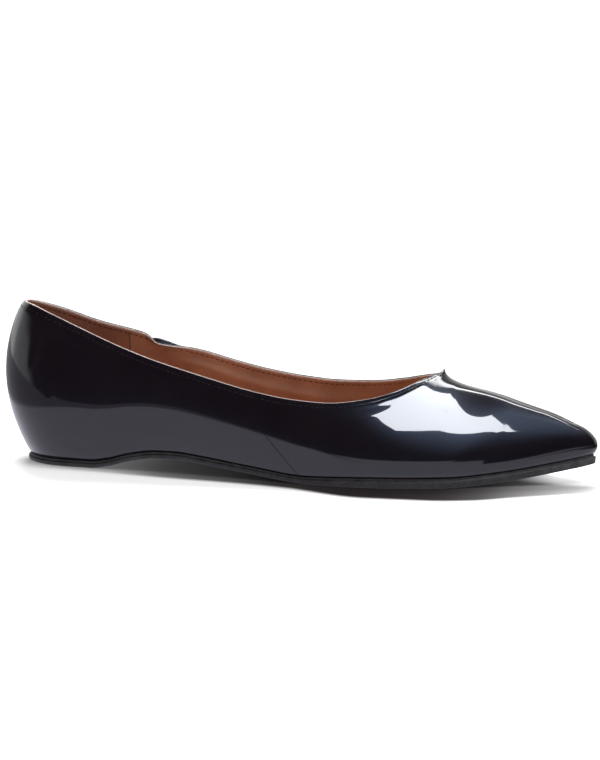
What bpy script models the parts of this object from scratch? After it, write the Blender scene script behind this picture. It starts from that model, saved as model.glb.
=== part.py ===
"""Pointed toe flat shoe, right foot, in three pieces: outsole, upper and insole with its heel wedge.

Metres, +Z up. The toe points along +X and the outer side of the foot faces -Y.
The origin is the middle of the shoe's box, on the floor.
"""

from collections import namedtuple
from functools import lru_cache

import bpy
import numpy as np

# Driving dimensions, in metres
LENGTH = 0.261
BALL_WIDTH = 0.078
BACK_HEIGHT = 0.072
CROWN_HEIGHT = 0.096
WALL = 0.0015
SOLE_THICKNESS = 0.0042
SOLE_MARGIN = 0.0006
GROOVE_DEPTH = 0.0009
GROOVE_HEIGHT = 0.0011
SOLE_EDGE_ROUND = 0.0006
ARCH_LIFT = 0.0058
TOE_SPRING = 0.0080
WEDGE_HEIGHT = 0.0125
INSOLE_THICKNESS = 0.0030
FIT_GAP = 0.0003
INSOLE_CLEARANCE = 0.0010

# Share of a column above which the wall's depth is measured more and more upright
CROWN_ZONE = 0.80

# Mesh density
SIDE_COLUMNS = 48
THROAT_COLUMNS = 10
WALL_ROWS = 12
SOLE_RUNGS = 6
INSOLE_ROWS = 3
SHIFT_COLUMNS = 120
SHIFT_ROWS = 25

# Sections around the last from the back of the heel to the tip. Columns:
# along, feather line as a share of LENGTH from the heel bulge,
# outer and inner, half widths of the feather line as shares of BALL_WIDTH,
# outer_lean and inner_lean, how far the low wall leans out, as shares of BALL_WIDTH,
# rise, height of the lean over the feather line, as a share of BACK_HEIGHT,
# outer_pull and inner_pull, how far the high wall draws in, as shares of the way to the crown,
# shoulder, height of the pull, and crown, height of the middle line, as shares of CROWN_HEIGHT,
# crown_along, place of the crown, as a share of LENGTH.
Section = namedtuple(
    "Section",
    "along outer inner outer_lean inner_lean rise outer_pull inner_pull shoulder crown crown_along",
)
SECTIONS = (
    Section(0.044, 0.000, 0.000, 0.238, 0.238, 0.37, -0.94, -0.94, 0.72, 0.99, 0.106),
    Section(0.053, 0.135, 0.130, 0.227, 0.227, 0.36, -0.65, -0.65, 0.72, 0.99, 0.112),
    Section(0.083, 0.250, 0.240, 0.200, 0.200, 0.33, -0.16, -0.17, 0.70, 1.00, 0.140),
    Section(0.150, 0.305, 0.290, 0.185, 0.185, 0.31, 0.08, 0.05, 0.67, 1.00, 0.190),
    Section(0.240, 0.328, 0.285, 0.155, 0.180, 0.28, 0.03, -0.14, 0.63, 0.95, 0.262),
    Section(0.350, 0.375, 0.250, 0.120, 0.215, 0.25, -0.04, -0.52, 0.55, 0.84, 0.370),
    Section(0.470, 0.450, 0.285, 0.085, 0.190, 0.22, 0.00, -0.39, 0.48, 0.72, 0.475),
    Section(0.585, 0.520, 0.375, 0.050, 0.100, 0.18, 0.11, -0.11, 0.45, 0.64, 0.580),
    Section(0.690, 0.500, 0.445, 0.040, 0.050, 0.14, 0.38, 0.29, 0.45, 0.555, 0.680),
    Section(0.780, 0.400, 0.415, 0.038, 0.040, 0.12, 0.54, 0.55, 0.395, 0.435, 0.760),
    Section(0.855, 0.282, 0.325, 0.036, 0.038, 0.11, 0.58, 0.59, 0.360, 0.384, 0.828),
    Section(0.920, 0.175, 0.210, 0.034, 0.036, 0.10, 0.53, 0.54, 0.312, 0.327, 0.886),
    Section(0.966, 0.100, 0.115, 0.034, 0.034, 0.09, 0.46, 0.46, 0.266, 0.284, 0.926),
    Section(0.991, 0.048, 0.052, 0.036, 0.036, 0.08, 0.44, 0.44, 0.236, 0.258, 0.946),
    Section(1.000, 0.000, 0.000, 0.038, 0.038, 0.08, 0.43, 0.43, 0.230, 0.252, 0.950),
)

# Topline: along as a share of LENGTH, height on each side as a share of BACK_HEIGHT
Edge = namedtuple("Edge", "along outer inner")
TOPLINE = (
    Edge(0.030, 0.985, 0.985),
    Edge(0.045, 0.965, 0.955),
    Edge(0.088, 0.922, 0.905),
    Edge(0.142, 0.845, 0.838),
    Edge(0.206, 0.754, 0.782),
    Edge(0.272, 0.676, 0.718),
    Edge(0.330, 0.621, 0.660),
    Edge(0.374, 0.581, 0.615),
    Edge(0.440, 0.527, 0.561),
    Edge(0.505, 0.493, 0.526),
    Edge(0.564, 0.481, 0.508),
    Edge(0.628, 0.502, 0.514),
    Edge(0.672, 0.542, 0.540),
    Edge(0.716, 0.605, 0.590),
    Edge(0.750, 0.652, 0.652),
)

# Underside of the outsole: along as a share of LENGTH, lift as shares of ARCH_LIFT and TOE_SPRING
Floor = namedtuple("Floor", "along arch spring")
UNDERSIDE = (
    Floor(0.000, 0.00, 0.00),
    Floor(0.190, 0.00, 0.00),
    Floor(0.230, 0.62, 0.00),
    Floor(0.280, 1.00, 0.00),
    Floor(0.340, 0.86, 0.00),
    Floor(0.430, 0.46, 0.00),
    Floor(0.540, 0.00, 0.00),
    Floor(0.760, 0.00, 0.00),
    Floor(0.850, 0.00, 0.22),
    Floor(0.930, 0.00, 0.60),
    Floor(1.000, 0.00, 1.00),
)

# Footbed over the outsole: along as a share of LENGTH, rise as a share of WEDGE_HEIGHT
Bed = namedtuple("Bed", "along rise")
FOOTBED = (
    Bed(0.000, 1.00),
    Bed(0.180, 1.00),
    Bed(0.320, 0.78),
    Bed(0.450, 0.38),
    Bed(0.600, 0.06),
    Bed(0.680, 0.00),
    Bed(1.000, 0.00),
)


def smooth_read(rows, place):
    """Read a table of places and values with a monotone cubic through its points."""
    x = np.array([row[0] for row in rows])
    y = np.array([row[1] for row in rows])
    steps = np.diff(x)
    slopes = np.diff(y) / steps
    tangents = np.zeros(len(x))
    for i in range(1, len(x) - 1):
        if slopes[i - 1] * slopes[i] > 0:
            first = 2 * steps[i] + steps[i - 1]
            second = steps[i] + 2 * steps[i - 1]
            tangents[i] = (first + second) / (first / slopes[i - 1] + second / slopes[i])
    tangents[0] = slopes[0]
    tangents[-1] = slopes[-1]
    place = min(max(place, x[0]), x[-1])
    i = min(int(np.searchsorted(x, place, side="right")) - 1, len(x) - 2)
    t = (place - x[i]) / steps[i]
    return (
        y[i] * (1 + 2 * t) * (1 - t) ** 2
        + y[i + 1] * t * t * (3 - 2 * t)
        + steps[i] * t * (1 - t) * (tangents[i] * (1 - t) - tangents[i + 1] * t)
    )


def underside(along):
    arch = smooth_read([(row.along, row.arch) for row in UNDERSIDE], along)
    spring = smooth_read([(row.along, row.spring) for row in UNDERSIDE], along)
    return arch * ARCH_LIFT + spring * TOE_SPRING


def topline_height(along, side):
    """Height of the open edge on one side."""
    return smooth_read([(row.along, row.outer if side == OUTER else row.inner) for row in TOPLINE], along) * BACK_HEIGHT


def footbed(along):
    return underside(along) + SOLE_THICKNESS + smooth_read(FOOTBED, along) * WEDGE_HEIGHT


class ClosedSpline:
    """Smooth closed curve through rows of numbers, at the given places around the loop."""

    def __init__(self, places, period, rows):
        self.places = np.append(places, places[0] + period)
        self.period = period
        self.rows = np.vstack([rows, rows[:1]])
        count = len(places)
        steps = np.diff(self.places)
        matrix = np.zeros((count, count))
        right = np.zeros((count, self.rows.shape[1]))
        for i in range(count):
            before = steps[i - 1]
            after = steps[i]
            matrix[i, (i - 1) % count] += before
            matrix[i, i] += 2 * (before + after)
            matrix[i, (i + 1) % count] += after
            rise_after = (self.rows[i + 1] - self.rows[i]) / after
            rise_before = (self.rows[i] - self.rows[i - 1 if i else count - 1]) / before
            right[i] = 6 * (rise_after - rise_before)
        bends = np.linalg.solve(matrix, right)
        self.bends = np.vstack([bends, bends[:1]])

    def at(self, place):
        start = self.places[0]
        place = start + (place - start) % self.period
        i = min(int(np.searchsorted(self.places, place, side="right")) - 1, len(self.places) - 2)
        step = self.places[i + 1] - self.places[i]
        b = (place - self.places[i]) / step
        a = 1 - b
        return (
            a * self.rows[i]
            + b * self.rows[i + 1]
            + ((a**3 - a) * self.bends[i] + (b**3 - b) * self.bends[i + 1]) * step * step / 6
        )


OUTER = 1
INNER = -1


class Last:
    """Surface of the last. A column runs from the feather line up to the crown on the middle plane.

    Place 0 is the back of the heel, 1 the tip along the outer side, and -1 the tip along the inner.
    """

    def __init__(self):
        feather = []
        for row in SECTIONS:
            half = (row.outer + row.inner) / 2 * BALL_WIDTH
            feather.append((row.along * LENGTH, half))
        feather = np.array(feather)
        run = np.concatenate([[0], np.cumsum(np.hypot(*np.diff(feather, axis=0).T))])
        run = run / run[-1]
        loop = [(run[i], SECTIONS[i], OUTER) for i in range(len(SECTIONS))]
        loop += [(2 - run[i], SECTIONS[i], INNER) for i in range(len(SECTIONS) - 2, 0, -1)]
        places = np.array([place for place, _, _ in loop])
        rows = np.array([self.numbers(section, side) for _, section, side in loop])
        self.spline = ClosedSpline(places, 2.0, rows)

    @staticmethod
    def numbers(section, side):
        half = section.outer if side == OUTER else section.inner
        lean = section.outer_lean if side == OUTER else section.inner_lean
        pull = section.outer_pull if side == OUTER else section.inner_pull
        return (
            section.along * LENGTH,
            -side * half * BALL_WIDTH,
            underside(section.along) + SOLE_THICKNESS + FIT_GAP,
            lean * BALL_WIDTH,
            section.rise * BACK_HEIGHT,
            pull,
            section.shoulder * CROWN_HEIGHT,
            section.crown * CROWN_HEIGHT,
            section.crown_along * LENGTH,
        )

    @lru_cache(maxsize=None)
    def feather(self, place):
        """Point of the feather line and the level direction that faces out of the shoe there."""
        numbers = self.spline.at(place)
        nudge = 0.0005
        ahead = self.spline.at(place + nudge)[:2] - self.spline.at(place - nudge)[:2]
        out = np.array([ahead[1], -ahead[0], 0.0])
        point = numbers[:3].copy()
        point[2] = underside(point[0] / LENGTH) + SOLE_THICKNESS + FIT_GAP
        return point, out / np.linalg.norm(out), numbers

    def point(self, place, up):
        """Point of the last at a share of the column's height."""
        foot, out, numbers = self.feather(place)
        _, _, _, lean, rise, pull, shoulder, crown, crown_along = numbers
        low = foot + out * lean
        low[2] = foot[2] + rise
        top = np.array([crown_along, 0.0, crown])
        high = foot + (top - foot) * pull
        high[2] = shoulder
        down = 1 - up
        return down**3 * foot + 3 * down * down * up * low + 3 * down * up * up * high + up**3 * top

    def normal(self, place, up):
        """Outward direction of the last's surface, turning upright towards the crown."""
        nudge = 0.0008
        upright = max(up - CROWN_ZONE, 0.0) / (1 - CROWN_ZONE)
        up = min(max(up, 2 * nudge), CROWN_ZONE)
        along = self.point(place + nudge, up) - self.point(place - nudge, up)
        rising = self.point(place, up + nudge) - self.point(place, up - nudge)
        out = np.cross(along, rising)
        out = out / np.linalg.norm(out) * (1 - upright) + np.array([0.0, 0.0, upright])
        return out / np.linalg.norm(out)

    def top_share(self, place):
        """Share of the column that the topline leaves standing."""
        side = OUTER if place % 2 <= 1 else INNER

        def over(up):
            point = self.point(place, up)
            return point[2] - topline_height(point[0] / LENGTH, side)

        if self.spline.at(place)[8] / LENGTH > TOPLINE[-1].along or over(1.0) <= 0:
            return 1.0
        low, high = 0.2, 1.0
        for _ in range(40):
            middle = (low + high) / 2
            if over(middle) > 0:
                high = middle
            else:
                low = middle
        return high

    def throat(self):
        """Place where the topline closes on the crown."""
        low, high = 0.4, 0.95
        for _ in range(40):
            middle = (low + high) / 2
            if self.top_share(middle) < 1.0:
                low = middle
            else:
                high = middle
        return high


LAST = Last()
THROAT = LAST.throat()


def column_places():
    """Places along one side, close together behind the throat, where the edge turns."""
    open_end = THROAT - 0.10
    behind = [open_end + (THROAT - open_end) * (1 - (1 - i / THROAT_COLUMNS) ** 2)
              for i in range(1, THROAT_COLUMNS + 1)]
    back_count = round(SIDE_COLUMNS * 0.60)
    front_count = SIDE_COLUMNS - back_count
    back = [open_end * i / back_count for i in range(back_count + 1)]
    front = [THROAT + (1 - THROAT) * i / front_count for i in range(1, front_count + 1)]
    return back + behind + front


def mirrored(place):
    """The place on the inner side that shares its crown with this one."""
    return (2 - place) % 2


class Builder:
    """Collects points and faces of one piece."""

    def __init__(self):
        self.points = []
        self.faces = []

    def add(self, point):
        self.points.append(tuple(float(value) for value in point))
        return len(self.points) - 1

    def face(self, *corners):
        kept = [corner for i, corner in enumerate(corners) if corner != corners[i - 1]]
        if len(set(kept)) > 2:
            self.faces.append(tuple(kept))

    def strip(self, first, second, closed=False):
        count = len(first)
        for i in range(count if closed else count - 1):
            j = (i + 1) % count
            self.face(first[i], first[j], second[j], second[i])

    def piece(self, name, colour, roughness, metallic=0.0):
        mesh = bpy.data.meshes.new(name)
        mesh.from_pydata([tuple(np.array(p) + SHIFT) for p in self.points], [], self.faces)
        mesh.update()
        mesh.shade_smooth()
        mesh.set_sharp_from_angle(angle=0.6)
        body = bpy.data.objects.new(name, mesh)
        bpy.context.scene.collection.objects.link(body)
        material = bpy.data.materials.new(name)
        material.use_nodes = True
        shader = material.node_tree.nodes["Principled BSDF"]
        shader.inputs["Base Color"].default_value = (*colour, 1.0)
        shader.inputs["Roughness"].default_value = roughness
        shader.inputs["Metallic"].default_value = metallic
        mesh.materials.append(material)
        return body


def upper_points(place, up, depth):
    """Point at a depth below the last's surface."""
    return LAST.point(place, up) - LAST.normal(place, up) * depth


def build_upper():
    """One hollow wall, open at the topline and underneath."""
    builder = Builder()
    side_places = column_places()
    loop = side_places + [mirrored(place) for place in reversed(side_places[1:-1])]
    throat_index = side_places.index(THROAT)
    crowns = {}
    skins = []
    for depth in (0.0, WALL):
        columns = []
        for index, place in enumerate(loop):
            side_index = index if index < len(side_places) else len(loop) - index
            top = 1.0 if side_index >= throat_index else LAST.top_share(place)
            column = []
            for row in range(WALL_ROWS + 1):
                up = top * row / WALL_ROWS
                on_crown = row == WALL_ROWS and side_index >= throat_index
                key = (side_index, depth)
                if on_crown and key in crowns:
                    column.append(crowns[key])
                    continue
                point = upper_points(place, up, depth)
                if on_crown:
                    point = LAST.point(place, 1.0) - np.array([0.0, 0.0, depth])
                    point[1] = 0.0
                column.append(builder.add(point))
                if on_crown:
                    crowns[key] = column[-1]
            columns.append(column)
        skins.append(columns)
    outside, inside = skins
    ridge = set(crowns.values())
    count = len(loop)
    for i in range(count):
        j = (i + 1) % count
        builder.strip(outside[j], outside[i])
        builder.strip(inside[i], inside[j])
        builder.face(outside[i][0], inside[i][0], inside[j][0], outside[j][0])
        if outside[i][-1] not in ridge or outside[j][-1] not in ridge:
            builder.face(outside[j][-1], inside[j][-1], inside[i][-1], outside[i][-1])
    return builder.piece("upper", (0.012, 0.013, 0.016), 0.06)


def loop_at(builder, places, offset, height):
    """A level step around the outline, out from the feather line by an offset."""
    ring = []
    for place in places:
        foot, out, _ = LAST.feather(place)
        point = foot + out * offset
        point[2] = height(foot[0] / LENGTH)
        ring.append(builder.add(point))
    return ring


def cap(builder, ring, height, upward):
    """Fill a ring with rungs from side to side at a given height."""
    count = len(ring)
    half = count // 2
    rows = []
    for i in range(half + 1):
        outer = ring[i]
        inner = ring[-i % count]
        row = [outer]
        if outer != inner:
            start = np.array(builder.points[outer])
            end = np.array(builder.points[inner])
            for step in range(1, SOLE_RUNGS):
                point = start + (end - start) * step / SOLE_RUNGS
                point[2] = height(point[0] / LENGTH)
                row.append(builder.add(point))
        row.append(inner)
        rows.append(row)
    for i in range(half):
        first, second = rows[i], rows[i + 1]
        if len(first) == 2:
            first = [first[0]] * len(second)
        if len(second) == 2:
            second = [second[0]] * len(first)
        if upward:
            builder.strip(second, first)
        else:
            builder.strip(first, second)


def ring_places(count):
    side = [i / count for i in range(count + 1)]
    return side + [mirrored(place) for place in reversed(side[1:-1])]


def build_outsole():
    """Rubber sole: a flat heel and forefoot, an arch and a toe spring, with a groove below the upper."""
    builder = Builder()
    places = ring_places(SIDE_COLUMNS)
    top = lambda along: underside(along) + SOLE_THICKNESS
    groove = lambda along: top(along) - GROOVE_HEIGHT
    low = lambda along: underside(along) + SOLE_EDGE_ROUND
    edge = SOLE_MARGIN
    rings = [
        loop_at(builder, places, edge - GROOVE_DEPTH, top),
        loop_at(builder, places, edge - GROOVE_DEPTH, groove),
        loop_at(builder, places, edge - SOLE_EDGE_ROUND / 2, groove),
        loop_at(builder, places, edge, lambda along: groove(along) - SOLE_EDGE_ROUND / 2),
        loop_at(builder, places, edge, low),
        loop_at(builder, places, edge - SOLE_EDGE_ROUND, underside),
    ]
    for upper_ring, lower_ring in zip(rings, rings[1:]):
        builder.strip(lower_ring, upper_ring, closed=True)
    cap(builder, rings[0], top, upward=True)
    cap(builder, rings[-1], underside, upward=False)
    return builder.piece("outsole", (0.030, 0.028, 0.031), 0.55)


def build_insole():
    """Footbed with the wedge under the heel, inside the upper, down to the outsole."""
    builder = Builder()
    places = ring_places(SIDE_COLUMNS)
    depth = WALL + INSOLE_CLEARANCE
    bottom = lambda along: underside(along) + SOLE_THICKNESS + FIT_GAP
    bed = lambda along: max(footbed(along), bottom(along) + INSOLE_THICKNESS)
    rings = []
    for row in range(INSOLE_ROWS + 1):
        ring = []
        for place in places:
            foot, _, _ = LAST.feather(place)
            along = foot[0] / LENGTH
            height = bottom(along) + (bed(along) - bottom(along)) * row / INSOLE_ROWS
            ring.append(builder.add(inside_point(place, depth, height)))
        rings.append(ring)
    for lower_ring, upper_ring in zip(rings, rings[1:]):
        builder.strip(lower_ring, upper_ring, closed=True)
    cap(builder, rings[-1], bed, upward=True)
    cap(builder, rings[0], bottom, upward=False)
    return builder.piece("insole", (0.33, 0.17, 0.11), 0.6)


def inside_point(place, depth, height):
    """Point of a column at a height, in from the last by a depth."""
    low, high = 0.0, 0.8
    for _ in range(30):
        middle = (low + high) / 2
        if upper_points(place, middle, depth)[2] > height:
            high = middle
        else:
            low = middle
    point = upper_points(place, low, depth)
    point[2] = height
    return point


def box_shift():
    """Move from the heel bulge and middle plane to the middle of the shoe's box."""
    points = []
    for place in ring_places(SHIFT_COLUMNS):
        foot, out, _ = LAST.feather(place)
        points.append(foot + out * SOLE_MARGIN)
        points += [LAST.point(place, up) for up in np.linspace(0, 0.6, SHIFT_ROWS)]
    points = np.array(points)
    low = points.min(axis=0)
    high = points.max(axis=0)
    return np.array([-(low[0] + high[0]) / 2, -(low[1] + high[1]) / 2, 0.0])


for old in list(bpy.data.objects):
    bpy.data.objects.remove(old, do_unlink=True)

SHIFT = box_shift()
build_outsole()
build_upper()
build_insole()
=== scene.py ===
import math
from collections import namedtuple

import bpy
import numpy as np
from mathutils import Matrix, Quaternion, Vector


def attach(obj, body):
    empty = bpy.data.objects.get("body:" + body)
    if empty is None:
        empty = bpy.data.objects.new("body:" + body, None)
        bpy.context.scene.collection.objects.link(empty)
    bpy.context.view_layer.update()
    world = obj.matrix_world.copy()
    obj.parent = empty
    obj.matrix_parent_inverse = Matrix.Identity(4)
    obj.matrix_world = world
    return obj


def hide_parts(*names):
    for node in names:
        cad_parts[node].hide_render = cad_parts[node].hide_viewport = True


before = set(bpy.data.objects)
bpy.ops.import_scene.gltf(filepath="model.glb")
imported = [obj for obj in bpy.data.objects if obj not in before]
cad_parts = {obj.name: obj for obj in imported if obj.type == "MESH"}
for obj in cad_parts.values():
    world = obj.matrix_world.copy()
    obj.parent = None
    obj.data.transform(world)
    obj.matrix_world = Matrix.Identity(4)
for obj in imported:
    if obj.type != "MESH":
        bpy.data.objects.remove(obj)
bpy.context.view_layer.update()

print("frame loaded, nodes:", len(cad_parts))

outerSide = 1
innerSide = -1

# Real sizes in metres, the same as the solids have
shoe = {
    "length": 0.261,
    "ballWidth": 0.078,
    "backHeight": 0.072,
    "crownHeight": 0.096,
    "wall": 0.0015,
    "soleThickness": 0.0042,
    "soleMargin": 0.0006,
    "grooveDepth": 0.0009,
    "grooveHeight": 0.0011,
    "archLift": 0.0058,
    "toeSpring": 0.0080,
    "wedgeHeight": 0.0125,
    "insoleThickness": 0.0030,
    "fitGap": 0.0003,
    "insoleClearance": 0.0010,
    "crownZone": 0.80,
}

# Sections from the back of the heel to the tip, as shares of the sizes above
Section = namedtuple(
    "Section",
    "along outer inner outerLean innerLean rise outerPull innerPull shoulder crown crownAlong",
)
sections = (
    Section(0.044, 0.000, 0.000, 0.238, 0.238, 0.37, -0.94, -0.94, 0.72, 0.99, 0.106),
    Section(0.053, 0.135, 0.130, 0.227, 0.227, 0.36, -0.65, -0.65, 0.72, 0.99, 0.112),
    Section(0.083, 0.250, 0.240, 0.200, 0.200, 0.33, -0.16, -0.17, 0.70, 1.00, 0.140),
    Section(0.150, 0.305, 0.290, 0.185, 0.185, 0.31, 0.08, 0.05, 0.67, 1.00, 0.190),
    Section(0.240, 0.328, 0.285, 0.155, 0.180, 0.28, 0.03, -0.14, 0.63, 0.95, 0.262),
    Section(0.350, 0.375, 0.250, 0.120, 0.215, 0.25, -0.04, -0.52, 0.55, 0.84, 0.370),
    Section(0.470, 0.450, 0.285, 0.085, 0.190, 0.22, 0.00, -0.39, 0.48, 0.72, 0.475),
    Section(0.585, 0.520, 0.375, 0.050, 0.100, 0.18, 0.11, -0.11, 0.45, 0.64, 0.580),
    Section(0.690, 0.500, 0.445, 0.040, 0.050, 0.14, 0.38, 0.29, 0.45, 0.555, 0.680),
    Section(0.780, 0.400, 0.415, 0.038, 0.040, 0.12, 0.54, 0.55, 0.395, 0.435, 0.760),
    Section(0.855, 0.282, 0.325, 0.036, 0.038, 0.11, 0.58, 0.59, 0.360, 0.384, 0.828),
    Section(0.920, 0.175, 0.210, 0.034, 0.036, 0.10, 0.53, 0.54, 0.312, 0.327, 0.886),
    Section(0.966, 0.100, 0.115, 0.034, 0.034, 0.09, 0.46, 0.46, 0.266, 0.284, 0.926),
    Section(0.991, 0.048, 0.052, 0.036, 0.036, 0.08, 0.44, 0.44, 0.236, 0.258, 0.946),
    Section(1.000, 0.000, 0.000, 0.038, 0.038, 0.08, 0.43, 0.43, 0.230, 0.252, 0.950),
)

Edge = namedtuple("Edge", "along outer inner")
topline = (
    Edge(0.030, 0.975, 0.975),
    Edge(0.045, 0.970, 0.955),
    Edge(0.088, 0.922, 0.905),
    Edge(0.142, 0.845, 0.838),
    Edge(0.206, 0.754, 0.782),
    Edge(0.272, 0.676, 0.718),
    Edge(0.330, 0.621, 0.660),
    Edge(0.374, 0.581, 0.615),
    Edge(0.440, 0.527, 0.561),
    Edge(0.505, 0.493, 0.526),
    Edge(0.564, 0.481, 0.508),
    Edge(0.628, 0.502, 0.514),
    Edge(0.672, 0.542, 0.540),
    Edge(0.716, 0.605, 0.590),
    Edge(0.750, 0.652, 0.652),
)

Floor = namedtuple("Floor", "along arch spring")
underside = (
    Floor(0.000, 0.00, 0.00),
    Floor(0.165, 0.00, 0.00),
    Floor(0.195, 0.20, 0.00),
    Floor(0.230, 0.66, 0.00),
    Floor(0.275, 1.00, 0.00),
    Floor(0.310, 1.04, 0.00),
    Floor(0.350, 0.88, 0.00),
    Floor(0.430, 0.46, 0.00),
    Floor(0.540, 0.00, 0.00),
    Floor(0.760, 0.00, 0.00),
    Floor(0.850, 0.00, 0.22),
    Floor(0.930, 0.00, 0.60),
    Floor(1.000, 0.00, 1.00),
)

Bed = namedtuple("Bed", "along rise")
footbed = (
    Bed(0.000, 1.00),
    Bed(0.180, 1.00),
    Bed(0.320, 0.78),
    Bed(0.450, 0.38),
    Bed(0.600, 0.06),
    Bed(0.680, 0.00),
    Bed(1.000, 0.00),
)


def monotone(xs, ys, places):
    xs = np.array(xs, float)
    ys = np.array(ys, float)
    steps = np.diff(xs)
    slopes = np.diff(ys) / steps
    tangents = np.zeros(len(xs))
    for i in range(1, len(xs) - 1):
        if slopes[i - 1] * slopes[i] > 0:
            first = 2 * steps[i] + steps[i - 1]
            second = steps[i] + 2 * steps[i - 1]
            tangents[i] = (first + second) / (first / slopes[i - 1] + second / slopes[i])
    tangents[0] = slopes[0]
    tangents[-1] = slopes[-1]
    places = np.clip(places, xs[0], xs[-1])
    i = np.minimum(np.searchsorted(xs, places, side="right") - 1, len(xs) - 2)
    t = (places - xs[i]) / steps[i]
    return (
        ys[i] * (1 + 2 * t) * (1 - t) ** 2
        + ys[i + 1] * t * t * (3 - 2 * t)
        + steps[i] * t * (1 - t) * (tangents[i] * (1 - t) - tangents[i + 1] * t)
    )


def ramp(values, low, high):
    return np.clip((values - low) / (high - low), 0, 1)


def undersideHeight(along):
    rows = [row.along for row in underside]
    arch = monotone(rows, [row.arch for row in underside], along)
    spring = monotone(rows, [row.spring for row in underside], along)
    return arch * shoe["archLift"] + spring * shoe["toeSpring"]


def seatHeight(along):
    return undersideHeight(along) + shoe["soleThickness"] + shoe["fitGap"]


def toplineHeight(along, side):
    rows = [row.along for row in topline]
    outer = monotone(rows, [row.outer for row in topline], along)
    inner = monotone(rows, [row.inner for row in topline], along)
    return np.where(side > 0, outer, inner) * shoe["backHeight"]


def footbedHeight(along):
    rise = monotone([row.along for row in footbed], [row.rise for row in footbed], along)
    over = np.maximum(rise * shoe["wedgeHeight"], shoe["insoleThickness"] + shoe["fitGap"])
    return undersideHeight(along) + shoe["soleThickness"] + over


class ClosedCurve:
    def __init__(self, places, period, rows):
        self.places = np.append(places, places[0] + period)
        self.period = period
        self.rows = np.vstack([rows, rows[:1]])
        count = len(places)
        steps = np.diff(self.places)
        matrix = np.zeros((count, count))
        right = np.zeros((count, self.rows.shape[1]))
        for i in range(count):
            before = steps[i - 1]
            after = steps[i]
            matrix[i, (i - 1) % count] += before
            matrix[i, i] += 2 * (before + after)
            matrix[i, (i + 1) % count] += after
            riseAfter = (self.rows[i + 1] - self.rows[i]) / after
            riseBefore = (self.rows[i] - self.rows[i - 1 if i else count - 1]) / before
            right[i] = 6 * (riseAfter - riseBefore)
        bends = np.linalg.solve(matrix, right)
        self.bends = np.vstack([bends, bends[:1]])

    def at(self, place):
        start = self.places[0]
        place = start + (np.asarray(place, float) - start) % self.period
        i = np.minimum(np.searchsorted(self.places, place, side="right") - 1, len(self.places) - 2)
        step = (self.places[i + 1] - self.places[i])[:, None]
        b = (place[:, None] - self.places[i][:, None]) / step
        a = 1 - b
        return (
            a * self.rows[i]
            + b * self.rows[i + 1]
            + ((a**3 - a) * self.bends[i] + (b**3 - b) * self.bends[i + 1]) * step * step / 6
        )


# The surface of the last: columns from the feather line up to the middle line

def lastCurve():
    feather = []
    for row in sections:
        feather.append((row.along * shoe["length"], (row.outer + row.inner) / 2 * shoe["ballWidth"]))
    feather = np.array(feather)
    run = np.concatenate([[0], np.cumsum(np.hypot(*np.diff(feather, axis=0).T))])
    run = run / run[-1]
    loop = [(run[i], sections[i], outerSide) for i in range(len(sections))]
    loop += [(2 - run[i], sections[i], innerSide) for i in range(len(sections) - 2, 0, -1)]
    rows = []
    for _, row, side in loop:
        half = row.outer if side == outerSide else row.inner
        lean = row.outerLean if side == outerSide else row.innerLean
        pull = row.outerPull if side == outerSide else row.innerPull
        rows.append((
            row.along * shoe["length"],
            -side * half * shoe["ballWidth"],
            lean * shoe["ballWidth"],
            row.rise * shoe["backHeight"],
            pull,
            row.shoulder * shoe["crownHeight"],
            row.crown * shoe["crownHeight"],
            row.crownAlong * shoe["length"],
        ))
    return ClosedCurve(np.array([place for place, _, _ in loop]), 2.0, np.array(rows))


last = lastCurve()


def featherLine(places):
    numbers = last.at(places)
    nudge = 0.0005
    ahead = last.at(places + nudge)[:, :2] - last.at(places - nudge)[:, :2]
    out = np.stack([ahead[:, 1], -ahead[:, 0], np.zeros(len(places))], axis=1)
    out /= np.linalg.norm(out, axis=1)[:, None]
    foot = np.zeros((len(places), 3))
    foot[:, :2] = numbers[:, :2]
    foot[:, 2] = seatHeight(foot[:, 0] / shoe["length"])
    return foot, out, numbers


def surface(places, ups):
    foot, out, numbers = featherLine(places)
    low = foot + out * numbers[:, 2:3]
    low[:, 2] = foot[:, 2] + numbers[:, 3]
    top = np.stack([numbers[:, 7], np.zeros(len(places)), numbers[:, 6]], axis=1)
    high = foot + (top - foot) * numbers[:, 4:5]
    high[:, 2] = numbers[:, 5]
    u = ups[:, :, None]
    d = 1 - u
    return (
        d**3 * foot[:, None]
        + 3 * d * d * u * low[:, None]
        + 3 * d * u * u * high[:, None]
        + u**3 * top[:, None]
    )


def surfaceNormals(places, ups):
    nudge = 0.0008
    held = np.clip(ups, 2 * nudge, shoe["crownZone"])
    along = surface(places + nudge, held) - surface(places - nudge, held)
    rising = surface(places, held + nudge) - surface(places, held - nudge)
    out = np.cross(along, rising)
    out /= np.linalg.norm(out, axis=2)[:, :, None]
    upright = ramp(ups, shoe["crownZone"], 1)[:, :, None]
    out = out * (1 - upright) + np.array([0.0, 0.0, 1.0]) * upright
    return out / np.linalg.norm(out, axis=2)[:, :, None]


def offsetSurface(places, ups, depth):
    return surface(places, ups) - surfaceNormals(places, ups) * depth


def halved(isOver, low, high, rounds):
    for _ in range(rounds):
        middle = (low + high) / 2
        over = isOver(middle)
        high = np.where(over, middle, high)
        low = np.where(over, low, middle)
    return low, high


def topShares(places, sides):
    def isOver(ups):
        point = surface(places, ups[:, None])[:, 0]
        return point[:, 2] > toplineHeight(point[:, 0] / shoe["length"], sides)

    whole = np.ones(len(places))
    _, high = halved(isOver, 0.2 * whole, whole, 40)
    crown = last.at(places)[:, 7] / shoe["length"]
    closed = (crown > topline[-1].along) | ~isOver(whole)
    return np.where(closed, 1.0, high)


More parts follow.
